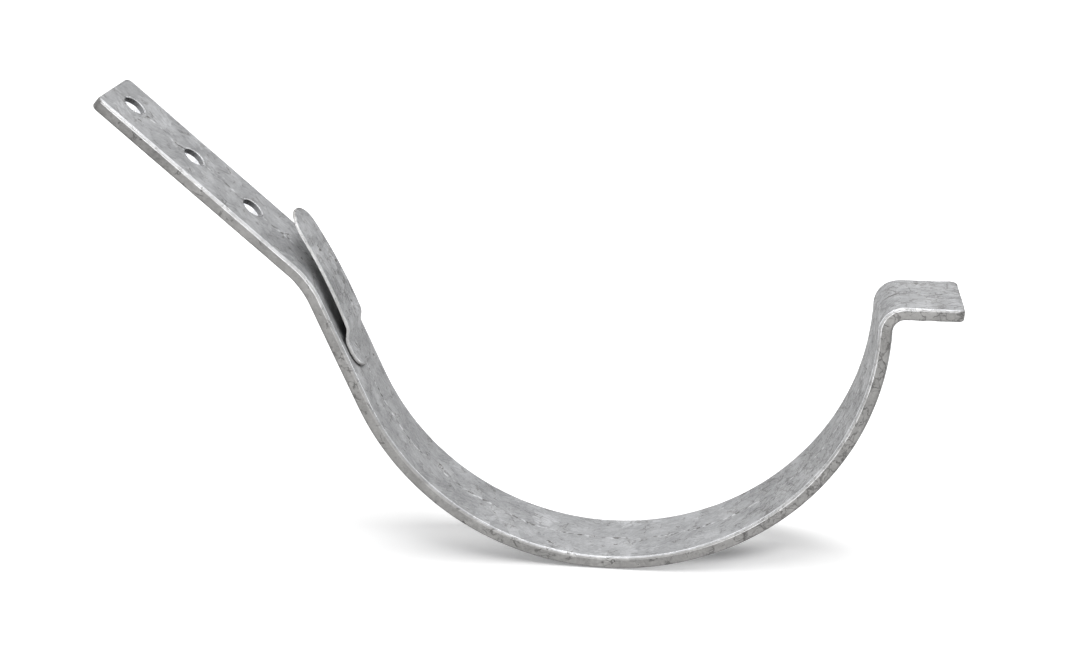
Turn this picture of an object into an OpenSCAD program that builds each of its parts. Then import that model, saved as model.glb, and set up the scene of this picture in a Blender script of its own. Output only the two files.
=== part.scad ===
// Gutter bracket for a half-round gutter: a flat bar bent to a rafter arm with
// three fixing holes, a half-round seat and a short nose, with a spring clip
// welded below the knee for the gutter's back edge.
// The origin is the seat's centre, +X runs out from the wall and +Z is up.

/* [Strap] */
// Width of the flat bar, along the gutter
strap_w = 25; // [20:1:40]
// Thickness of the flat bar
strap_t = 4; // [3:0.5:5]
// Radius of the bar's rolled long edges
edge_r = 0.9; // [0.3:0.1:1.4]
// Rounding of the bar's corners at its two cut ends
corner_r = 1.2; // [0.5:0.1:3]

/* [Seat] */
// Radius of the half-round seat that the gutter lies in
seat_r = 77; // [60:1:100]
// Angle of the seat from its lowest point round to the wall side
back_arc = 67.5; // [60:0.5:75]
// Angle of the seat from its lowest point round to the front
front_arc = 90; // [80:1:95]

/* [Rafter arm] */
// Straight stretch between the seat and the knee
back_len = 35; // [30:1:40]
// Radius of the knee on its gutter side
knee_r = 28; // [10:1:60]
// Slope of the arm above the horizontal
arm_slope = 41.7; // [20:0.1:55]
// Length of the arm's straight stretch
arm_len = 73.5; // [60:0.5:150]

/* [Fixing holes] */
// Diameter of the nail or screw holes
hole_d = 6.4; // [4:0.1:8]
// Number of holes along the arm
hole_count = 3; // [1:1:3]
// Distance from the arm's end to the first hole's centre
hole_end = 8.1; // [6:0.1:12]
// Distance between hole centres
hole_pitch = 22.5; // [14:0.5:23]

/* [Nose] */
// Straight stretch between the seat and the nose
front_len = 1; // [0.5:0.5:30]
// Radius of the nose's bend on its gutter side
nose_r = 7.5; // [6:0.5:15]
// Slope of the nose above the horizontal
nose_slope = 0; // [0:0.5:15]
// Length of the nose's straight stretch
nose_len = 16.3; // [8:0.1:40]

/* [Spring clip] */
// Thickness of the clip's sheet
clip_t = 0.9; // [0.6:0.1:1.2]
// Width of the clip's foot
foot_w = 18.5; // [14:0.5:20]
// Rounding of the foot's corners
foot_r = 7; // [4:0.5:7]
// Length of the foot that lies on the strap
foot_len = 9; // [8:0.1:14]
// Distance from the end of the seat's arc to the clip's lower end
foot_gap = 9.2; // [9.1:0.1:12]
// Width of the clip's tip
tip_w = 14; // [10:0.5:16]
// Angle at which the clip steps off the strap
step_angle = 30; // [20:1:40]
// Length of the step's sloping stretch
step_len = 1.9; // [0.5:0.1:3]
// Radius of the step's two bends, at the middle of the sheet
step_r = 4; // [2:0.5:5]
// Angle off the strap at which the blade starts
blade_lead = 2.8; // [1:0.1:8]
// Radius of the blade's long curve on its arm side
blade_r = 168; // [120:1:240]
// Angle that the blade turns through up to its tip
blade_sweep = 12.8; // [8:0.1:14]

/* [Hidden] */
$fn = 96;
// How far a cutting shape runs past what it cuts
overcut = strap_t / 4;
// How far a bend runs into the straights it joins, and how far it lies under their faces
lap = strap_t / 40;
sink = strap_t / 800;
knee_angle = back_arc - arm_slope;
nose_angle = front_arc - nose_slope;
// Radii of the step's bends, each measured to the sheet's strap side
step_rise_r = step_r + clip_t / 2;
step_fall_r = step_r - clip_t / 2;
step_fall_angle = step_angle - blade_lead;
// Lengths along the foot's line that the step, the blade and the whole clip cover
step_run = step_r * (2 * sin(step_angle) - sin(blade_lead)) + step_len * cos(step_angle);
blade_run = blade_r * (sin(blade_lead) + sin(blade_sweep - blade_lead));
clip_len = foot_len + step_run + blade_run - clip_t / 2;
// Centres of the outline's round corners, and the direction square to its long sides
foot_corner = [foot_r, foot_w / 2 - foot_r];
tip_centre = [clip_len - tip_w / 2, 0];
side_span = tip_centre - foot_corner;
side_angle = atan2(side_span.y, side_span.x) + acos((foot_r - tip_w / 2) / norm(side_span));
side_normal = [cos(side_angle), sin(side_angle)];

// Section of the flat bar: its gutter side lies on x = 0 and y runs along the gutter
module bar_section(inset = 0) {
    r = edge_r - inset;
    translate([inset, edge_r - strap_w / 2])
        square([strap_t - 2 * inset, strap_w - 2 * edge_r]);
    translate([edge_r, inset - strap_w / 2])
        square([strap_t - 2 * edge_r, strap_w - 2 * inset]);
    for (x = [edge_r, strap_t - edge_r], side = [-1, 1])
        translate([x, side * (strap_w / 2 - edge_r)])
            circle(r);
}

// Section of the clip's sheet before its outline is cut, with its strap side on x = 0
module sheet_section(inset = 0) {
    blank_w = foot_w + 2 * overcut;
    translate([inset, inset - blank_w / 2])
        square([clip_t - 2 * inset, blank_w - 2 * inset]);
}

// Sweeps a section round an axis r from its x = 0 side, towards +x
module bend_out(r, angle) {
    lap_angle = lap / r * 180 / PI;
    translate([r, 0, 0])
        mirror([1, 0, 0])
            rotate([90, lap_angle, 0])
                rotate_extrude(angle = angle + 2 * lap_angle)
                    translate([r, 0])
                        mirror([1, 0])
                            children();
}

// Sweeps a section round an axis r from its x = 0 side, towards -x
module bend_in(r, angle) {
    lap_angle = lap / r * 180 / PI;
    translate([-r, 0, 0])
        rotate([90, lap_angle, 0])
            rotate_extrude(angle = angle + 2 * lap_angle)
                translate([r, 0])
                    children();
}

// Moves what follows to the far end of a bend towards +x
module past_bend_out(r, angle) {
    translate([r, 0, 0])
        rotate([0, angle, 0])
            translate([-r, 0, 0])
                children();
}

// Moves what follows to the far end of a bend towards -x
module past_bend_in(r, angle) {
    translate([-r, 0, 0])
        rotate([0, -angle, 0])
            translate([r, 0, 0])
                children();
}

// Stands z along the bar and x outwards, at an angle round the seat from its lowest point
module on_seat(angle) {
    rotate([0, 90 - angle, 0])
        translate([seat_r, 0, 0])
            children();
}

// Stands z up the bar and x outwards, where the seat's arc ends on the wall side
module on_back() {
    mirror([1, 0, 0])
        on_seat(back_arc)
            children();
}

// Turns a flat outline, drawn with x along the bar, into a cutter square to the bar
module outline_cutter(inner, outer) {
    translate([inner, 0, 0])
        rotate([0, 90, 0])
            linear_extrude(outer - inner)
                mirror([1, 0])
                    children();
}

// Outline of the bar's last stretch, with its two corners rounded
module end_outline(len) {
    translate([0, -strap_w / 2 - overcut])
        square([len - corner_r, strap_w + 2 * overcut]);
    translate([0, corner_r - strap_w / 2])
        square([len, strap_w - 2 * corner_r]);
    for (side = [-1, 1])
        translate([len - corner_r, side * (strap_w / 2 - corner_r)])
            circle(corner_r);
}

// Straight bar that ends in a sheared edge with rounded corners
module bar_end(len) {
    intersection() {
        linear_extrude(len)
            bar_section();
        outline_cutter(-overcut, strap_t + overcut)
            end_outline(len);
    }
}

// A straight stretch, a bend outwards and the bar's end
module tail(straight_len, r, angle, end_len) {
    linear_extrude(straight_len)
        bar_section();
    translate([0, 0, straight_len]) {
        bend_out(r, angle)
            bar_section(sink);
        past_bend_out(r, angle)
            bar_end(end_len);
    }
}

// Moves what follows to the start of the arm, with z up the arm
module on_arm() {
    on_back()
        translate([0, 0, back_len])
            past_bend_out(knee_r, knee_angle)
                children();
}

// Fixing holes, square to the arm
module fixing_holes() {
    for (i = [0 : hole_count - 1])
        translate([-overcut, 0, arm_len - hole_end - i * hole_pitch])
            rotate([0, 90, 0])
                cylinder(d = hole_d, h = strap_t + 2 * overcut);
}

// One length of flat bar, bent to the arm, the knee, the seat and the nose
module strap() {
    color("#a3a6a8")
        difference() {
            union() {
                on_seat(-back_arc)
                    bend_in(seat_r, back_arc + front_arc)
                        bar_section(sink);
                on_back()
                    tail(back_len, knee_r, knee_angle, arm_len);
                on_seat(front_arc)
                    tail(front_len, nose_r, nose_angle, nose_len);
            }
            on_arm()
                fixing_holes();
        }
}

// Cutters that leave the clip's outline: a wide foot, narrowing to a round tip
module clip_cutters() {
    for (side = [-1, 1])
        outline_cutter(-blade_r, blade_r)
            translate([foot_corner.x, side * foot_corner.y])
                circle(foot_r - sink);
    outline_cutter(-blade_r, blade_r)
        translate(tip_centre)
            circle(tip_w / 2 - sink);
    foot_side = foot_corner + foot_r * side_normal;
    tip_side = tip_centre + tip_w / 2 * side_normal;
    outline_cutter(-blade_r, blade_r)
        polygon([
            [0, foot_corner.y],
            foot_side,
            tip_side,
            [tip_side.x, -tip_side.y],
            [foot_side.x, -foot_side.y],
            [0, -foot_corner.y],
        ]);
}

// The clip's sheet along its whole path: foot, step and curved blade
module clip_sheet() {
    linear_extrude(foot_len)
        sheet_section();
    translate([0, 0, foot_len]) {
        bend_out(step_rise_r, step_angle)
            sheet_section(sink);
        past_bend_out(step_rise_r, step_angle) {
            linear_extrude(step_len)
                sheet_section();
            translate([0, 0, step_len]) {
                bend_in(step_fall_r, step_fall_angle)
                    sheet_section(2 * sink);
                past_bend_in(step_fall_r, step_fall_angle)
                    bend_in(blade_r, blade_sweep)
                        sheet_section();
            }
        }
    }
}

// Spring tongue, welded by its foot to the gutter side of the strap
module spring_clip() {
    color("#adb0b2")
        on_back()
            translate([0, 0, foot_gap])
                mirror([1, 0, 0])
                    intersection() {
                        clip_sheet();
                        clip_cutters();
                    }
}

strap();
spring_clip();
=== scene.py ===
import math

import bpy
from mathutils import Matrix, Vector


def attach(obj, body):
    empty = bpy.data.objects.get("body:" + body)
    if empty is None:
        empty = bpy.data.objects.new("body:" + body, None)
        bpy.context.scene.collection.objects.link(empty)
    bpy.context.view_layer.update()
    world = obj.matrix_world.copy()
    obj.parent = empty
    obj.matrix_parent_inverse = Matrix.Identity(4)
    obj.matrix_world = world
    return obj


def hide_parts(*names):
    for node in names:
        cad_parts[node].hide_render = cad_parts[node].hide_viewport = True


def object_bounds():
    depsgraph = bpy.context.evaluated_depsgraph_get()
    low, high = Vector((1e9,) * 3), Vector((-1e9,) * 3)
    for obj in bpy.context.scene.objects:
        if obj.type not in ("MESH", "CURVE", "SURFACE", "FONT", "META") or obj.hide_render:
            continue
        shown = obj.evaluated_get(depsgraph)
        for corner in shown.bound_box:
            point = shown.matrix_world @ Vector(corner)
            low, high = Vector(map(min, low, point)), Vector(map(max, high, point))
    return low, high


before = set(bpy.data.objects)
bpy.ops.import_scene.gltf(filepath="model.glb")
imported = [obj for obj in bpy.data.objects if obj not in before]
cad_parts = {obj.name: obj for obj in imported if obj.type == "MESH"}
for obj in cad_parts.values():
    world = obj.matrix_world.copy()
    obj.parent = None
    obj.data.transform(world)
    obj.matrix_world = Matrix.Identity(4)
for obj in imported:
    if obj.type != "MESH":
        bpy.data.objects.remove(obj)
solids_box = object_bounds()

# ---------------------------------------------------------------------------
# Strap: one length of 25 x 4 mm flat steel bar with rolled edges, cut off,
# punched with three fixing holes, bent cold to the rafter arm, the knee, the
# half-round seat and the nose, then dipped whole in molten zinc.
# ---------------------------------------------------------------------------

strap_width = 0.025
strap_thickness = 0.004
strap_edge_radius = 0.0009
strap_end_corner = 0.0020
seat_radius = 0.077
seat_angle_to_wall = math.radians(67.5)
back_straight = 0.035
knee_radius = 0.028
arm_slope = math.radians(41.7)
arm_straight = 0.0735
front_straight = 0.001
nose_radius = 0.0075
nose_straight = 0.0163
hole_diameter = 0.0064
hole_count = 3
hole_from_end = 0.0081
hole_pitch = 0.0225

# Lengths along the bar from the arm's end, on its gutter face
seat_starts = arm_straight + knee_radius * (seat_angle_to_wall - arm_slope) + back_straight
seat_lowest = seat_starts + seat_radius * seat_angle_to_wall
seat_ends = seat_lowest + seat_radius * math.pi / 2

# The patch of the strap that the spring clip's foot covers
foot_width = 0.0185
foot_corner = 0.007
foot_from_seat = 0.0092


def put(tree, kind, feeds=None, **settings):
    """One node with its settings made and its inputs fed by sockets or values."""
    node = tree.nodes.new(kind)
    for name, value in settings.items():
        setattr(node, name, value)
    for key, value in (feeds or {}).items():
        if isinstance(value, bpy.types.NodeSocket):
            tree.links.new(value, node.inputs[key])
        else:
            node.inputs[key].default_value = value
    return node


def maths(tree, operation, *values):
    return put(tree, "ShaderNodeMath", dict(enumerate(values)), operation=operation).outputs[0]


def chain(tree, operation, values):
    """One value made from several, two at a time."""
    result = values[0]
    for value in values[1:]:
        result = maths(tree, operation, result, value)
    return result


def total(tree, *values):
    return chain(tree, "ADD", values)


def product(tree, *values):
    return chain(tree, "MULTIPLY", values)


def largest(tree, *values):
    return chain(tree, "MAXIMUM", values)


def smallest(tree, *values):
    return chain(tree, "MINIMUM", values)


def minus(tree, value, taken):
    return maths(tree, "SUBTRACT", value, taken)


def opposite(tree, mask):
    """One where a mask is nought, and nought where it is one."""
    return minus(tree, 1.0, mask)


def blend(tree, share, low, high):
    return total(tree, product(tree, low, opposite(tree, share)), product(tree, high, share))


def weighted(tree, *shares):
    """The sum of some values, each times its weight."""
    return total(tree, *[product(tree, value, weight) for value, weight in shares])


def diagonal(tree, one, other):
    """The distance across two sides that meet square."""
    return maths(tree, "SQRT", total(tree, product(tree, one, one), product(tree, other, other)))


def arc_height(tree, radius, off):
    """How high a circle stands at a distance off its centre."""
    left = minus(tree, product(tree, radius, radius), product(tree, off, off))
    return maths(tree, "SQRT", largest(tree, left, 0.0))


def ramp(tree, value, low, high, at_low=0.0, at_high=1.0, shape="SMOOTHSTEP"):
    """Runs from at_low to at_high while value runs from low to high."""
    feeds = {0: value, 1: low, 2: high, 3: at_low, 4: at_high}
    return put(tree, "ShaderNodeMapRange", feeds, interpolation_type=shape).outputs[0]


def vectors(tree, operation, *values):
    node = put(tree, "ShaderNodeVectorMath", dict(enumerate(values)), operation=operation)
    return node.outputs[1 if operation in ("DOT_PRODUCT", "LENGTH") else 0]


def scaled(tree, vector, factor):
    return put(tree, "ShaderNodeVectorMath", {0: vector, 3: factor}, operation="SCALE").outputs[0]


def joined(tree, x=0.0, y=0.0, z=0.0):
    return put(tree, "ShaderNodeCombineXYZ", {0: x, 1: y, 2: z}).outputs[0]


def split(tree, vector):
    return put(tree, "ShaderNodeSeparateXYZ", {0: vector}).outputs


def noise(tree, spot, scale, detail, roughness=0.5):
    """Cloudy grain; a scale of three numbers draws it out along the smallest."""
    if isinstance(scale, tuple):
        spot = vectors(tree, "MULTIPLY", spot, scale)
        scale = 1.0
    feeds = {"Vector": spot, "Scale": scale, "Detail": detail, "Roughness": roughness}
    return put(tree, "ShaderNodeTexNoise", feeds).outputs[0]


def position(tree):
    return put(tree, "GeometryNodeInputPosition").outputs[0]


def bar_inputs(tree):
    """The tree's named inputs, with the finished bar as its output."""
    face = tree.interface
    face.new_socket(name="Bend line", in_out="INPUT", socket_type="NodeSocketGeometry")
    for label in ("Start width", "End width", "Thickness", "Edge radius", "Start corner", "End corner",
                  "End allowance", "Mesh pitch", "Hole diameter", "First hole", "Hole pitch",
                  "Hole rim", "Unevenness", "Nose unevenness"):
        face.new_socket(name=label, in_out="INPUT", socket_type="NodeSocketFloat")
    for label in ("Columns", "Layers", "Corner rings", "Hole count", "Seed"):
        face.new_socket(name=label, in_out="INPUT", socket_type="NodeSocketInt")
    face.new_socket(name="Finish", in_out="INPUT", socket_type="NodeSocketMaterial")
    face.new_socket(name="Bar", in_out="OUTPUT", socket_type="NodeSocketGeometry")
    return tree.nodes.new("NodeGroupInput").outputs


def outline(tree, size, full, length_at):
    """Half the width, the corner radius and the reach into a corner at a length along the bar."""
    share = maths(tree, "DIVIDE", length_at, full)
    width = ramp(tree, share, 0.0, 1.0, size["Start width"], size["End width"], "LINEAR")
    round_by = ramp(tree, share, 0.0, 1.0, size["Start corner"], size["End corner"], "LINEAR")
    into_start = minus(tree, round_by, length_at)
    into_far_end = minus(tree, length_at, minus(tree, full, round_by))
    return product(tree, width, 0.5), round_by, largest(tree, into_start, into_far_end, 0.0)


def inset_from_outline(tree, half, round_by, into_end, across):
    """How far a place lies inside the outline, up to the corner radius."""
    beyond = minus(tree, maths(tree, "ABSOLUTE", across), minus(tree, half, round_by))
    reach = diagonal(tree, into_end, largest(tree, beyond, 0.0))
    return largest(tree, minus(tree, round_by, reach), 0.0)


def flat_bar(tree, size, full):
    """A block of even cells, shaped to the bar's outline, rolled edges and thickness."""
    corner = largest(tree, size["Start corner"], size["End corner"])
    crowd = size["Corner rings"]
    middle = minus(tree, full, product(tree, corner, 2.0))
    middle_rings = maths(tree, "ROUND", maths(tree, "DIVIDE", middle, size["Mesh pitch"]))
    rings = total(tree, middle_rings, product(tree, crowd, 2.0))
    block = put(tree, "GeometryNodeMeshCube", {
        0: (1.0, 1.0, 1.0), 1: total(tree, rings, 1.0), 2: total(tree, size["Columns"], 1.0),
        3: total(tree, size["Layers"], 1.0)}).outputs[0]
    cell = split(tree, position(tree))

    # Rings are even in the middle, and crowded round the corners at both ends
    ring = product(tree, total(tree, cell[0], 0.5), rings)
    from_end = smallest(tree, ring, minus(tree, rings, ring))
    turn = product(tree, maths(tree, "DIVIDE", smallest(tree, from_end, crowd), crowd), math.pi / 2)
    in_corner = product(tree, corner, opposite(tree, maths(tree, "COSINE", turn)))
    even_pitch = maths(tree, "DIVIDE", middle, middle_rings)
    in_middle = product(tree, even_pitch, largest(tree, minus(tree, from_end, crowd), 0.0))
    from_tip = total(tree, in_corner, in_middle)
    far_half = maths(tree, "GREATER_THAN", ring, product(tree, rings, 0.5))
    length_at = blend(tree, far_half, from_tip, minus(tree, full, from_tip))

    # Straight or tapered sides, and round corners at the ends
    half, round_by, into_end = outline(tree, size, full, length_at)
    edge_at = total(tree, minus(tree, half, round_by), arc_height(tree, round_by, into_end))
    across = product(tree, maths(tree, "SINE", product(tree, cell[1], math.pi)), edge_at)

    # The thickness falls off in a quarter round near the outline
    margin = inset_from_outline(tree, half, round_by, into_end, across)
    edge = size["Edge radius"]
    fall = minus(tree, edge, smallest(tree, margin, edge))
    half_thickness = product(tree, size["Thickness"], 0.5)
    half_here = total(tree, minus(tree, half_thickness, edge), arc_height(tree, edge, fall))
    height = minus(tree, product(tree, cell[2], half_here, 2.0), half_thickness)
    bar = put(tree, "GeometryNodeSetPosition", {0: block, 2: joined(tree, length_at, across, height)})
    return put(tree, "GeometryNodeMergeByDistance", {0: bar.outputs[0], 2: 2e-6}).outputs[0]


def punched(tree, size, bar):
    """The bar with its row of holes, if it has any, each with a softened rim on both faces."""
    past_face = 0.001
    thickness = size["Thickness"]
    foot = joined(tree, z=minus(tree, product(tree, thickness, -1.0), past_face))
    core = put(tree, "GeometryNodeCurvePrimitiveLine", {0: foot, 1: (0.0, 0.0, past_face)}).outputs[0]
    core = put(tree, "GeometryNodeResampleCurve", {0: core, 2: 97}, mode="COUNT").outputs[0]
    height = split(tree, position(tree))[2]
    below_face = smallest(tree, product(tree, height, -1.0), total(tree, height, thickness))
    rim = size["Hole rim"]
    left = minus(tree, rim, smallest(tree, largest(tree, below_face, 0.0), rim))
    flare = minus(tree, rim, arc_height(tree, rim, left))
    girth = total(tree, product(tree, size["Hole diameter"], 0.5), flare)
    circle = put(tree, "GeometryNodeCurvePrimitiveCircle", {0: 72, 4: 1.0}).outputs[0]
    punch = put(tree, "GeometryNodeCurveToMesh", {0: core, 1: circle, 2: girth, 3: True}).outputs[0]
    marks = put(tree, "GeometryNodeMeshLine", {
        0: size["Hole count"], 2: joined(tree, size["First hole"]), 3: joined(tree, size["Hole pitch"])},
        mode="OFFSET").outputs[0]
    punches = put(tree, "GeometryNodeInstanceOnPoints", {0: marks, 2: punch}).outputs[0]
    punches = put(tree, "GeometryNodeRealizeInstances", {0: punches}).outputs[0]
    holed = put(tree, "GeometryNodeMeshBoolean", {0: bar, 1: punches},
                operation="DIFFERENCE", solver="MANIFOLD").outputs[0]
    has_holes = put(tree, "FunctionNodeCompare", {2: size["Hole count"], 3: 0},
                    data_type="INT", operation="GREATER_THAN").outputs[0]
    return put(tree, "GeometryNodeSwitch", {0: has_holes, 1: bar, 2: holed},
               input_type="GEOMETRY").outputs[0]


def with_flat_places(tree, size, full, bar):
    """Keeps each point's place on the flat bar, its inset and its distance from an end."""
    bar = put(tree, "GeometryNodeStoreNamedAttribute", {0: bar, 2: "flat_place", 3: position(tree)},
              data_type="FLOAT_VECTOR", domain="POINT").outputs[0]
    flat = put(tree, "GeometryNodeInputNamedAttribute", {0: "flat_place"},
               data_type="FLOAT_VECTOR").outputs[0]
    flat_at = split(tree, flat)
    inset = inset_from_outline(tree, *outline(tree, size, full, flat_at[0]), flat_at[1])
    to_end = smallest(tree, flat_at[0], minus(tree, full, flat_at[0]))
    for label, value in (("edge_inset", inset), ("end_distance", to_end)):
        bar = put(tree, "GeometryNodeStoreNamedAttribute", {0: bar, 2: label, 3: value},
                  data_type="FLOAT", domain="POINT").outputs[0]
    return bar, flat, flat_at


def laid_along(tree, line, bar, flat_at):
    """The flat bar bent along its line, with all its thickness on one side of it."""
    on_line = put(tree, "GeometryNodeSampleCurve", {0: line, 3: flat_at[0]},
                  mode="LENGTH", use_all_curves=True).outputs
    square = vectors(tree, "CROSS_PRODUCT", on_line["Tangent"], (0.0, 1.0, 0.0))
    lift = scaled(tree, vectors(tree, "NORMALIZE", square), flat_at[2])
    bent = vectors(tree, "ADD", vectors(tree, "ADD", on_line["Position"], lift),
                   joined(tree, y=flat_at[1]))
    return put(tree, "GeometryNodeSetPosition", {0: bar, 2: bent}).outputs[0]


def uneven(tree, size, full, bar, flat, flat_at):
    """Rolling, bending and zinc leave the faces slightly uneven, most of all at the nose."""
    spot = vectors(tree, "ADD", flat, joined(tree, z=product(tree, size["Seed"], 0.37)))
    swell = ramp(tree, noise(tree, spot, 70.0, 2.0), 0.3, 0.7)
    dents = ramp(tree, noise(tree, spot, 260.0, 2.0), 0.3, 0.7)
    near_nose = ramp(tree, minus(tree, full, flat_at[0]), 0.034, 0.012)
    deepest = total(tree, size["Unevenness"], product(tree, near_nose, size["Nose unevenness"]))
    sunk = product(tree, weighted(tree, (swell, 0.65), (dents, 0.35)), deepest, -1.0)
    inward = scaled(tree, put(tree, "GeometryNodeInputNormal").outputs[0], sunk)
    return put(tree, "GeometryNodeSetPosition", {0: bar, 3: inward}).outputs[0]


def bar_tree(name):
    """Cuts a flat bar to its outline, rounds its edges, punches it and bends it along a line."""
    tree = bpy.data.node_groups.new(name, "GeometryNodeTree")
    size = bar_inputs(tree)
    bend = put(tree, "GeometryNodeInputNamedAttribute", {0: "bend_radius"}, data_type="FLOAT").outputs[0]
    line = put(tree, "GeometryNodeMeshToCurve", {0: size["Bend line"]}).outputs[0]
    line = put(tree, "GeometryNodeFilletCurve", {0: line, 1: 360, 2: bend, 3: False},
               mode="POLY").outputs[0]
    full = minus(tree, put(tree, "GeometryNodeCurveLength", {0: line}).outputs[0], size["End allowance"])
    bar = punched(tree, size, flat_bar(tree, size, full))
    bar, flat, flat_at = with_flat_places(tree, size, full, bar)
    bar = laid_along(tree, line, bar, flat_at)
    bar = uneven(tree, size, full, bar, flat, flat_at)
    bar = put(tree, "GeometryNodeSetShadeSmooth", {0: bar, 2: True}).outputs[0]
    bar = put(tree, "GeometryNodeRealizeInstances", {0: bar}).outputs[0]
    bar = put(tree, "GeometryNodeSetMaterial", {0: bar, 2: size["Finish"]}).outputs[0]
    put(tree, "NodeGroupOutput", {0: bar})
    return tree


def along(start, angle, distance):
    """The point at a distance from start, where angle is measured up from +X."""
    return (start[0] + distance * math.cos(angle), start[1] + distance * math.sin(angle))


def bend_line(name, corners, radii):
    """The line a bar is bent along: its straights' meeting points and the radius at each."""
    mesh = bpy.data.meshes.new(name)
    points = [(x, 0.0, z) for x, z in corners]
    mesh.from_pydata(points, [(i, i + 1) for i in range(len(corners) - 1)], [])
    bend = mesh.attributes.new("bend_radius", "FLOAT", "POINT")
    bend.data.foreach_set("value", radii)
    line = bpy.data.objects.new(name, mesh)
    bpy.context.scene.collection.objects.link(line)
    return line


def form(line, tree, name, sizes):
    """Runs the tree on a bend line and keeps the result as a plain mesh object."""
    modifier = line.modifiers.new("form", "NODES")
    modifier.node_group = tree
    for socket in tree.interface.items_tree:
        if socket.in_out == "INPUT" and socket.name in sizes:
            modifier[socket.identifier] = sizes[socket.name]
    bpy.context.view_layer.update()
    seen = line.evaluated_get(bpy.context.evaluated_depsgraph_get())
    mesh = bpy.data.meshes.new_from_object(seen)
    mesh.name = name
    piece = bpy.data.objects.new(name, mesh)
    bpy.context.scene.collection.objects.link(piece)
    line.modifiers.remove(modifier)
    bpy.data.objects.remove(line)
    return piece


def dross_pits(tree, spot, pitting):
    """Small dark pits, longer along the bar, each with a lit rim."""
    stretched = vectors(tree, "MULTIPLY", spot, (0.45, 1.0, 1.0))
    cell = put(tree, "ShaderNodeTexVoronoi", {"Vector": stretched, "Scale": 330.0}, feature="F1").outputs
    chance = put(tree, "ShaderNodeSeparateColor", {0: cell["Color"]}).outputs[0]
    hollow = product(tree, ramp(tree, cell["Distance"], 0.24, 0.11),
                     ramp(tree, chance, 0.98 - pitting, 1.02 - pitting))
    lit_rim = product(tree, ramp(tree, cell["Distance"], 0.34, 0.22),
                      ramp(tree, chance, 0.94 - pitting, 0.98 - pitting))
    return hollow, lit_rim


def skin_creases(tree, spot, push, more):
    """Fine hair lines, in patches, where the bath's skin has folded."""
    folded = vectors(tree, "MULTIPLY_ADD", push, (0.0030, 0.0030, 0.0030),
                     vectors(tree, "MULTIPLY", spot, (0.6, 1.0, 1.0)))
    patches = total(tree, noise(tree, spot, 240.0, 2.0), more)
    lines = []
    for scale, least in ((210.0, 0.53), (400.0, 0.56)):
        cell = put(tree, "ShaderNodeTexVoronoi", {"Vector": folded, "Scale": scale},
                   feature="DISTANCE_TO_EDGE").outputs
        lines.append(product(tree, ramp(tree, cell["Distance"], 0.045, 0.012),
                             ramp(tree, patches, least, least + 0.07)))
    return largest(tree, *lines)


def edge_rub_and_highlights(tree, spot, place, depth, rub_and_highlight_band, highlight_and_wear_share):
    """The narrow sides; rubbing on one long edge, with painted highlight lines along it; and painted shade on
    the other edges.
    """
    inset = put(tree, "ShaderNodeAttribute", attribute_name="edge_inset").outputs["Fac"]
    to_end = put(tree, "ShaderNodeAttribute", attribute_name="end_distance").outputs["Fac"]
    side = ramp(tree, inset, 0.00035, 0.00012)
    broken = noise(tree, spot, (260.0, 700.0, 700.0), 3.0)
    round_band = product(tree, ramp(tree, inset, rub_and_highlight_band, 0.90 * rub_and_highlight_band),
                         ramp(tree, depth, rub_and_highlight_band, 0.90 * rub_and_highlight_band))
    # by_face and by_side are painted highlight lines on the rolled edge, one by the face and one by the side.
    by_face = product(tree, round_band, ramp(tree, inset, 0.62 * rub_and_highlight_band, 0.72 * rub_and_highlight_band),
                      ramp(tree, broken, 0.30, 0.42, 0.65, 1.0))
    by_side = product(tree, round_band, ramp(tree, depth, 0.70 * rub_and_highlight_band, 0.78 * rub_and_highlight_band), highlight_and_wear_share,
                      ramp(tree, broken, 0.40, 0.50, 0.5, 1.0))
    rub_and_highlight = largest(tree, by_face, by_side, product(tree, round_band, highlight_and_wear_share, 0.30))
    # Only the long edge on the -Y side is worn and carries the painted highlight.
    rub_and_highlight_long_edge = ramp(tree, place[1], 0.002, -0.002)
    blunt_end = ramp(tree, to_end, 0.0022, 0.0012)
    rub_and_highlight = product(tree, rub_and_highlight, rub_and_highlight_long_edge, opposite(tree, blunt_end))
    # Painted shade on the other long edge, on the sides by the ends and on the lower arris.
    painted_edge_shade = largest(tree, product(tree, round_band, opposite(tree, rub_and_highlight_long_edge)),
                   product(tree, side, blunt_end), product(tree, side, ramp(tree, depth, 0.0031, 0.0035)))
    return product(tree, side, opposite(tree, rub_and_highlight)), rub_and_highlight, painted_edge_shade


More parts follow.
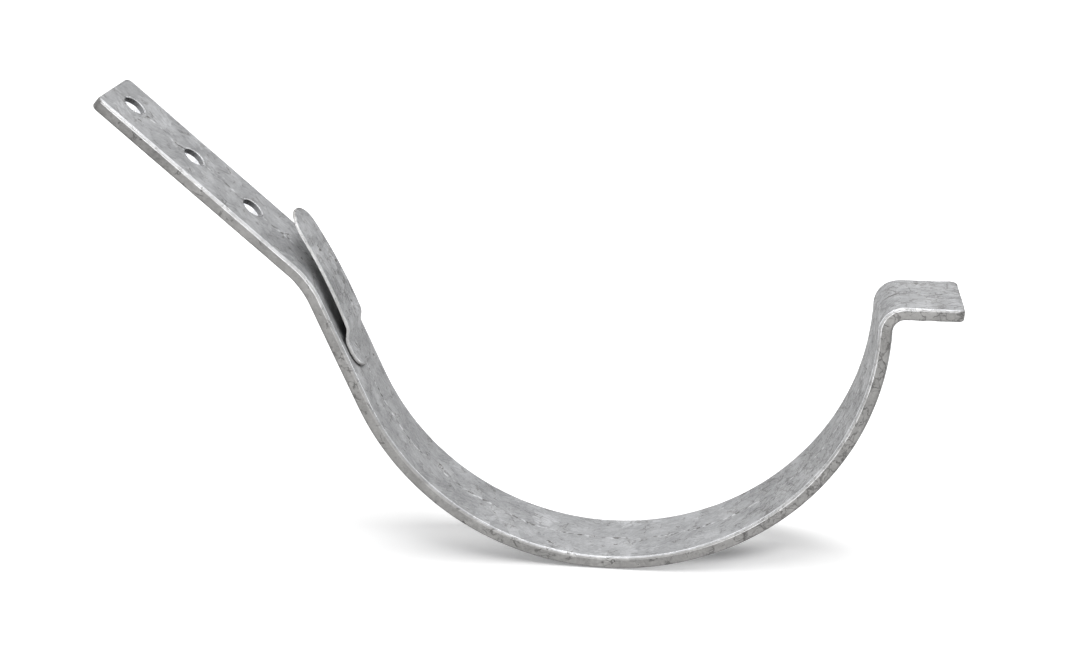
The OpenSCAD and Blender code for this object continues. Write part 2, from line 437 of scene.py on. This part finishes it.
def zinc(name, rub_and_highlight_face, rub_and_highlight_band, side_grey, contrast, pitting, highlight_and_wear_of, shades_of, painted_shade_and_light=None):
    """Hot-dip zinc weathered to a matt grey: faint crystals, feathered frost, dross pits, worn edges with
    painted highlight lines, and any painted light and shade a piece adds.
    """
    bare_grey = 0.335
    material = bpy.data.materials.new(name)
    material.use_nodes = True
    tree = material.node_tree
    tree.nodes.clear()
    spot = put(tree, "ShaderNodeAttribute", attribute_name="flat_place").outputs["Vector"]
    place = split(tree, spot)
    depth = maths(tree, "ABSOLUTE", minus(tree, place[2], rub_and_highlight_face))

    # Crystals: ragged cells a few millimetres across, each with its own grey
    ragged = put(tree, "ShaderNodeTexNoise", {"Vector": spot, "Scale": 420.0, "Detail": 4.0})
    push = vectors(tree, "SUBTRACT", ragged.outputs["Color"], (0.5, 0.5, 0.5))
    pushed = vectors(tree, "MULTIPLY_ADD", push, (0.0060, 0.0060, 0.0060), spot)
    crystal = put(tree, "ShaderNodeTexVoronoi", {"Vector": pushed, "Scale": 170.0}, feature="F1").outputs
    own = put(tree, "ShaderNodeSeparateColor", {0: crystal["Color"]}).outputs
    leaf = ramp(tree, crystal["Distance"], 0.10, 0.75, 0.5, -0.5)

    # Feathers: fine streaks that lie another way in each crystal, and frost on some of them
    turned = put(tree, "ShaderNodeVectorRotate", {
        "Vector": spot, "Axis": (0.15, 0.2, 1.0), "Angle": ramp(tree, own[0], 0.0, 1.0, -0.9, 0.7, "LINEAR")},
        rotation_type="AXIS_ANGLE").outputs[0]
    feather = noise(tree, turned, (430.0, 1500.0, 900.0), 5.0, 0.62)
    more_at_end = ramp(tree, place[0], 0.034, 0.014, 0.0, 0.08)
    frost = product(tree, ramp(tree, total(tree, own[1], more_at_end), 0.82, 0.86),
                    ramp(tree, feather, 0.42, 0.54))
    cloud = noise(tree, spot, 75.0, 3.0)
    grain = noise(tree, spot, 2100.0, 3.0)

    highlight_and_wear_share, more_creases = highlight_and_wear_of(tree, place)
    pit, lit_rim = dross_pits(tree, pushed, pitting)
    crease = skin_creases(tree, spot, push, more_creases)
    side, rub_and_highlight, painted_edge_shade = edge_rub_and_highlights(tree, spot, place, depth, rub_and_highlight_band, highlight_and_wear_share)
    painted_light_and_marks, own_dark = shades_of(tree, spot, place, depth, side)

    grey = weighted(tree, (minus(tree, own[2], 0.5), 0.09), (leaf, 0.06), (minus(tree, feather, 0.5), 0.40),
                    (minus(tree, cloud, 0.5), 0.14), (minus(tree, grain, 0.5), 0.18), (frost, 0.055))
    grey = product(tree, grey, ramp(tree, side, 0.0, 1.0, contrast, 0.6 * contrast))
    # The 0.56 on the worn edge paints its highlight lines; the -0.07 paints shade on the other edges.
    grey = total(tree, grey, painted_light_and_marks, bare_grey, weighted(
        tree, (lit_rim, 0.10), (side, side_grey - bare_grey), (rub_and_highlight, 0.56), (painted_edge_shade, -0.07)))
    dark = largest(tree, pit, own_dark, product(tree, crease, ramp(tree, side, 0.0, 1.0, 0.50, 0.70)))
    dark = product(tree, dark, opposite(tree, product(tree, rub_and_highlight, 0.8)))
    grey = product(tree, grey, opposite(tree, product(tree, dark, 0.62)))
    metal = total(tree, 0.15, product(tree, rub_and_highlight, 0.45))
    rough = total(tree, 0.42, weighted(
        tree, (minus(tree, own[1], 0.5), 0.12), (minus(tree, feather, 0.5), 0.20), (rub_and_highlight, -0.14),
        (dark, 0.25)))
    # Painted shade and light by the clip and in the holes, for the strap.
    if painted_shade_and_light:
        grey, painted_lower_wall_light = painted_shade_and_light(tree, spot, place, depth, grey)
        metal = largest(tree, metal, painted_lower_wall_light)
        rough = minus(tree, rough, product(tree, painted_lower_wall_light, 0.25))

    # Faces are a little cool; sides and dark marks are a little warm
    tints = []
    for green, blue in ((1.010, 1.035), (0.985, 0.965)):
        tints.append(put(tree, "ShaderNodeCombineColor", {
            0: grey, 1: product(tree, grey, green), 2: product(tree, grey, blue)}).outputs[0])
    colour = put(tree, "ShaderNodeMix", {"Factor": largest(tree, side, dark), 6: tints[0], 7: tints[1]},
                 data_type="RGBA").outputs[2]
    relief = weighted(tree, (feather, 0.25), (grain, 0.12), (cloud, 0.8), (dark, -0.8), (lit_rim, 0.25))
    bump = put(tree, "ShaderNodeBump", {"Strength": 0.6, "Distance": 0.0003, "Height": relief}).outputs[0]
    shader = put(tree, "ShaderNodeBsdfPrincipled", {
        "Base Color": colour, "Metallic": metal, "Roughness": rough, "Normal": bump,
        "Specular IOR Level": 0.25})
    put(tree, "ShaderNodeOutputMaterial", {0: shader.outputs[0]})
    return material


def strap_highlight_and_wear(tree, place):
    """The strap's edges are most worn, and their painted highlight strongest, on the arm and towards the
    nose, where its skin is creased most.
    """
    on_arm = ramp(tree, place[0], 0.10, 0.08, 0.25, 1.0)
    by_nose = ramp(tree, place[0], seat_ends - 0.10, seat_ends - 0.07, 0.25, 0.9)
    more_creases = ramp(tree, place[0], seat_ends - 0.085, seat_ends - 0.070, 0.0, 0.18)
    return largest(tree, on_arm, by_nose), more_creases


def broken_seam(tree, spot, place, depth):
    """A wandering row of dark and bright dashes down the middle of the gutter face."""
    wander = product(tree, minus(tree, noise(tree, spot, 60.0, 3.0), 0.5), 0.0060)
    off_line = maths(tree, "ABSOLUTE", total(tree, place[1], wander))
    short_dashes = noise(tree, spot, (430.0, 500.0, 60.0), 3.0)
    long_dashes = noise(tree, spot, (110.0, 500.0, 60.0), 3.0)
    at_nose = ramp(tree, place[0], seat_ends - 0.004, seat_ends + 0.003)
    dashes = blend(tree, at_nose, short_dashes, long_dashes)
    line = product(tree, ramp(tree, off_line, 0.00055, 0.00030), ramp(tree, depth, 0.0004, 0.0002),
                   ramp(tree, long_dashes, 0.42, 0.54, 0.25, 0.9))
    return (product(tree, line, ramp(tree, dashes, 0.48, 0.44)),
            product(tree, line, ramp(tree, dashes, 0.515, 0.56)))


def strap_seam_and_painted_light(tree, spot, place, depth, side):
    """Painted light on the seat's lowest part and the nose, and painted shade on the sides at the arm's end.
    """
    bright_dashes, dark_dashes = broken_seam(tree, spot, place, depth)
    from_lowest = maths(tree, "ABSOLUTE", minus(tree, place[0], seat_lowest))
    on_nose = ramp(tree, place[0], seat_ends, seat_ends + 0.010)
    # Painted light on the seat's lowest part and the nose.
    painted_light_on_seat_and_nose = largest(tree, ramp(tree, from_lowest, 0.070, 0.015), on_nose)
    # Painted shade on the narrow sides near the arm's end.
    painted_side_shade_at_arm_end = ramp(tree, place[0], 0.020, 0.038, -0.090, -0.005)
    painted_light_and_shade_on_sides = total(tree, painted_side_shade_at_arm_end, product(tree, on_nose, 0.050))
    light = weighted(tree, (painted_light_on_seat_and_nose, ramp(tree, side, 0.0, 1.0, 0.055, -0.020)), (side, painted_light_and_shade_on_sides),
                     (bright_dashes, 0.28))
    return light, dark_dashes


def painted_shade_by_clip(tree, place, depth):
    """Painted shade in the gap behind the clip's tongue and in the crevice round its foot."""
    foot_end = seat_starts - foot_from_seat
    beyond_end = largest(tree, minus(tree, place[0], foot_end - foot_corner), 0.0)
    across = maths(tree, "ABSOLUTE", place[1])
    beyond_side = largest(tree, minus(tree, across, foot_width / 2 - foot_corner), 0.0)
    past_foot = minus(tree, diagonal(tree, beyond_end, beyond_side), foot_corner)
    # Painted shade in the gap and in the crevice round the foot.
    gap = product(tree, ramp(tree, past_foot, 0.0012, -0.0018), ramp(tree, place[0], 0.070, 0.094))
    crevice = product(tree, ramp(tree, past_foot, 0.0008, 0.0002), ramp(tree, place[0], 0.098, 0.101))
    return product(tree, largest(tree, gap, crevice), ramp(tree, depth, 0.0008, 0.0004))


def strap_painted_shade_and_light(tree, spot, place, depth, grey):
    """Painted shade by the clip, and hole walls with painted shade above and painted light below; a painted
    highlight lies on each hole's far rim.
    """
    grey = product(tree, grey, opposite(tree, product(tree, painted_shade_by_clip(tree, place, depth), 0.88)))
    bore = hole_diameter / 2
    half_pitch = hole_pitch / 2
    shifted = total(tree, place[0], half_pitch - hole_from_end)
    beside = minus(tree, maths(tree, "MODULO", shifted, hole_pitch), half_pitch)
    from_axis = diagonal(tree, beside, place[1])
    in_row = maths(tree, "LESS_THAN", place[0], hole_from_end + (hole_count - 0.5) * hole_pitch)
    wall = product(tree, ramp(tree, from_axis, bore + 0.00022, bore + 0.00010), in_row)
    # Painted light on the lower part of each hole wall.
    painted_lower_wall_light = product(tree, wall, ramp(tree, depth, 0.00150, 0.00175))
    streaks = minus(tree, noise(tree, spot, (1500.0, 1500.0, 250.0), 2.0), 0.5)
    # Painted shade on the rest of each hole wall, darkest on its side towards the arm's end.
    painted_upper_wall_shade = total(tree, ramp(tree, beside, -bore, 0.9 * bore, 0.03, 0.24), product(tree, streaks, 0.16))
    wall_grey = largest(tree, painted_upper_wall_shade, 0.02, product(tree, painted_lower_wall_light, 0.90))
    # Painted highlight on each hole's far rim.
    painted_far_rim_highlight = product(tree, ramp(tree, from_axis, bore + 0.00070, bore + 0.00055), in_row,
                      ramp(tree, place[1], 0.0004, 0.0014))
    grey = total(tree, grey, product(tree, painted_far_rim_highlight, 0.42))
    return blend(tree, wall, grey, wall_grey), painted_lower_wall_light


seat_end = (-seat_radius * math.sin(seat_angle_to_wall), -seat_radius * math.cos(seat_angle_to_wall))
seat_turn = seat_radius * math.tan(seat_angle_to_wall / 2)
back_direction = math.pi - seat_angle_to_wall
arm_direction = math.pi - arm_slope
knee_turn = knee_radius * math.tan((arm_direction - back_direction) / 2)
knee_corner = along(seat_end, back_direction, back_straight + knee_turn)
arm_end = along(knee_corner, arm_direction, knee_turn + arm_straight)
nose_corner = (seat_radius, front_straight + nose_radius)
nose_end = (seat_radius + nose_radius + nose_straight, nose_corner[1])
strap_line = bend_line(
    "strap_bend_line",
    [arm_end, knee_corner, (-seat_turn, -seat_radius), (seat_radius, -seat_radius), nose_corner, nose_end],
    [0.0, knee_radius, seat_radius, seat_radius, nose_radius, 0.0])
strap_zinc = zinc("weathered_zinc_bar", rub_and_highlight_face=0.0, rub_and_highlight_band=strap_edge_radius, side_grey=0.335,
                  contrast=1.0, pitting=0.20, highlight_and_wear_of=strap_highlight_and_wear, shades_of=strap_seam_and_painted_light, painted_shade_and_light=strap_painted_shade_and_light)
bar_former = bar_tree("cut_punched_and_bent_bar")
strap = form(strap_line, bar_former, "bent_strap", {
    "Start width": strap_width, "End width": strap_width, "Thickness": strap_thickness,
    "Edge radius": strap_edge_radius, "Start corner": strap_end_corner, "End corner": strap_end_corner,
    "End allowance": 0.0, "Mesh pitch": 0.00065, "Columns": 60, "Layers": 6, "Corner rings": 10,
    "Hole diameter": hole_diameter, "Hole count": hole_count, "First hole": hole_from_end,
    "Hole pitch": hole_pitch, "Hole rim": 0.0004, "Unevenness": 0.00006, "Nose unevenness": 0.00025,
    "Seed": 4, "Finish": strap_zinc})
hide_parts("strap")
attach(strap, "root")

# ---------------------------------------------------------------------------
# Spring clip: a tongue of 0.9 mm galvanised sheet, blanked with a round foot
# and a round tip, pressed with a small step, and spot-welded by its foot to
# the strap's gutter face. The tongue is bent over the gutter's back edge.
# ---------------------------------------------------------------------------

clip_thickness = 0.0009
foot_length = 0.009
tip_width = 0.014
step_angle = math.radians(30.0)
step_slope_length = 0.0019
step_middle_radius = 0.004
blade_lead = math.radians(2.8)
blade_radius = 0.168
blade_sweep = math.radians(12.8)

# The step's two bends, on the clip's face towards the strap, where its bend line runs
step_out_radius = step_middle_radius + clip_thickness / 2
step_back_radius = step_middle_radius - clip_thickness / 2


def clip_highlight_and_wear(tree, place):
    """The tongue's edges are worn and carry a painted highlight, less so on the foot; its skin is creased
    evenly.
    """
    return ramp(tree, place[0], 0.016, 0.030, 0.5, 1.0), 0.03


def clip_painted_light_and_shade(tree, spot, place, depth, side):
    """Painted shade darkens the clip at its foot, and painted light makes it lighter towards its tip."""
    return ramp(tree, place[0], 0.012, 0.045, -0.035, 0.030), 0.0


foot_start = along(seat_end, back_direction, foot_from_seat)
out_turn = step_out_radius * math.tan(step_angle / 2)
back_turn = step_back_radius * math.tan((step_angle - blade_lead) / 2)
blade_turn = blade_radius * math.tan(blade_sweep / 2)
step_corner = along(foot_start, back_direction, foot_length + out_turn)
step_top = along(step_corner, back_direction - step_angle, out_turn + step_slope_length + back_turn)
blade_corner = along(step_top, back_direction - blade_lead, back_turn + blade_turn)
tip = along(blade_corner, back_direction - blade_lead + blade_sweep, blade_turn)
clip_line = bend_line("clip_bend_line", [foot_start, step_corner, step_top, blade_corner, tip],
                      [0.0, step_out_radius, step_back_radius, blade_radius, 0.0])
# side_grey=0.46 gives the clip's narrow sides a lighter grey than its faces: a painted highlight on its rim.
clip_zinc = zinc("weathered_zinc_sheet", rub_and_highlight_face=-clip_thickness, rub_and_highlight_band=0.0007, side_grey=0.46,
                 contrast=1.3, pitting=0.32, highlight_and_wear_of=clip_highlight_and_wear, shades_of=clip_painted_light_and_shade)
clip = form(clip_line, bar_former, "pressed_spring_clip", {
    "Start width": foot_width, "End width": tip_width, "Thickness": clip_thickness,
    "Edge radius": 0.0003, "Start corner": foot_corner, "End corner": tip_width / 2,
    "End allowance": clip_thickness / 2, "Mesh pitch": 0.0005, "Columns": 36, "Layers": 3,
    "Corner rings": 20, "Hole count": 0, "Unevenness": 0.00003, "Seed": 9, "Finish": clip_zinc})
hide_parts("spring_clip")
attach(clip, "root")

# ---------------------------------------------------------------------------
# Floor and surroundings: a plain pale studio floor that the seat's lowest
# line touches. It glows white to the eye, and less round the bracket and in
# three soft ovals under it, where its shadow is left to show.
# ---------------------------------------------------------------------------

floor_reach = 6.0
floor_level = solids_box[0][2]
floor_mesh = bpy.data.meshes.new("studio_floor")
floor_corners = [(x * floor_reach, y * floor_reach, floor_level)
                 for x, y in ((-1, -1), (1, -1), (1, 1), (-1, 1))]
floor_mesh.from_pydata(floor_corners, [], [(0, 1, 2, 3)])
floor = bpy.data.objects.new("studio_floor", floor_mesh)
bpy.context.scene.collection.objects.link(floor)


def seen_directly(tree):
    """One for rays from the camera and for those mirrored or let through, nought for light."""
    rays = put(tree, "ShaderNodeLightPath").outputs
    return largest(tree, rays["Is Camera Ray"], rays["Is Glossy Ray"], rays["Is Transmission Ray"])


def shaded_oval(tree, on_floor, centre, turn, squeeze, reach, depth):
    """How much glow a soft oval, turned about its centre, takes from the floor; most at the centre."""
    turned = put(tree, "ShaderNodeVectorRotate", {"Vector": on_floor, "Center": centre, "Angle": -turn},
                 rotation_type="Z_AXIS").outputs[0]
    away = vectors(tree, "MULTIPLY", vectors(tree, "SUBTRACT", turned, centre), (1.0, squeeze, 0.0))
    return ramp(tree, vectors(tree, "LENGTH", away), 0.0, reach, depth, 0.0)


floor_paint = bpy.data.materials.new("pale_floor")
floor_paint.use_nodes = True
paint = floor_paint.node_tree
paint.nodes.clear()
matt = put(paint, "ShaderNodeBsdfDiffuse", {"Color": (0.8, 0.8, 0.8, 1.0)}).outputs[0]
floor_place = put(paint, "ShaderNodeTexCoord").outputs["Object"]
floor_place = vectors(paint, "MULTIPLY", floor_place, (1.0, 1.0, 0.0))
open_floor = ramp(paint, vectors(paint, "LENGTH", floor_place), 0.18, 0.35, 0.555, 1.0)
under_back = shaded_oval(paint, floor_place, (-0.0272, -0.0156, 0.0), turn=0.0, squeeze=3.67,
                         reach=0.085, depth=0.445)
under_front = shaded_oval(paint, floor_place, (0.0448, 0.0210, 0.0), turn=-0.379, squeeze=2.94,
                          reach=0.0357, depth=0.407)
between_them = shaded_oval(paint, floor_place, (0.0355, 0.0014, 0.0), turn=0.366, squeeze=3.17,
                           reach=0.0253, depth=0.417)
lift = minus(paint, open_floor, total(paint, under_back, under_front, between_them))
glow = put(paint, "ShaderNodeEmission", {
    "Color": (1.0, 1.0, 1.0, 1.0),
    "Strength": product(paint, seen_directly(paint), largest(paint, lift, 0.0))}).outputs[0]
lit = put(paint, "ShaderNodeAddShader", {0: matt, 1: glow}).outputs[0]
put(paint, "ShaderNodeOutputMaterial", {0: lit})
floor_mesh.materials.append(floor_paint)

world = bpy.data.worlds.new("white_studio")
world.use_nodes = True
sky = world.node_tree
sky.nodes.clear()
sky_strength = ramp(sky, seen_directly(sky), 0.0, 1.0, 0.03, 1.0, "LINEAR")
dome = put(sky, "ShaderNodeBackground", {"Color": (1.0, 1.0, 1.0, 1.0), "Strength": sky_strength}).outputs[0]
put(sky, "ShaderNodeOutputWorld", {0: dome})
bpy.context.scene.world = world

# ---------------------------------------------------------------------------
# Lamps: one broad soft lamp overhead and a weaker one in front.
# ---------------------------------------------------------------------------


def soft_lamp(name, place, size, power):
    """A square lamp that points at the middle of the seat."""
    light = bpy.data.lights.new(name, "AREA")
    light.shape = "SQUARE"
    light.size = size
    light.energy = power
    lamp = bpy.data.objects.new(name, light)
    lamp.location = place
    lamp.rotation_euler = (-Vector(place)).to_track_quat("-Z", "Y").to_euler()
    bpy.context.scene.collection.objects.link(lamp)


soft_lamp("overhead_softbox", (0.02, -0.20, 0.88), size=0.8, power=11.2)
soft_lamp("front_softbox", (0.05, -0.9, 0.45), size=0.6, power=2.6)

# ---------------------------------------------------------------------------
# Camera: in front of the bracket's middle, a little above it, looking down.
# ---------------------------------------------------------------------------

camera_dip = 0.3771096
camera_turn = 0.1255237

camera_data = bpy.data.cameras.new("camera")
camera_data.sensor_fit = "HORIZONTAL"
camera_data.sensor_width = 36.0
camera_data.lens = 56.80
camera_data.clip_start = 0.01
camera = bpy.data.objects.new("camera", camera_data)
camera.location = (0.035325, -0.463239, 0.177707)
camera.rotation_euler = (math.pi / 2 - camera_dip, 0.0, camera_turn)
bpy.context.scene.collection.objects.link(camera)
bpy.context.scene.camera = camera
bpy.context.scene.view_settings.view_transform = "Standard"
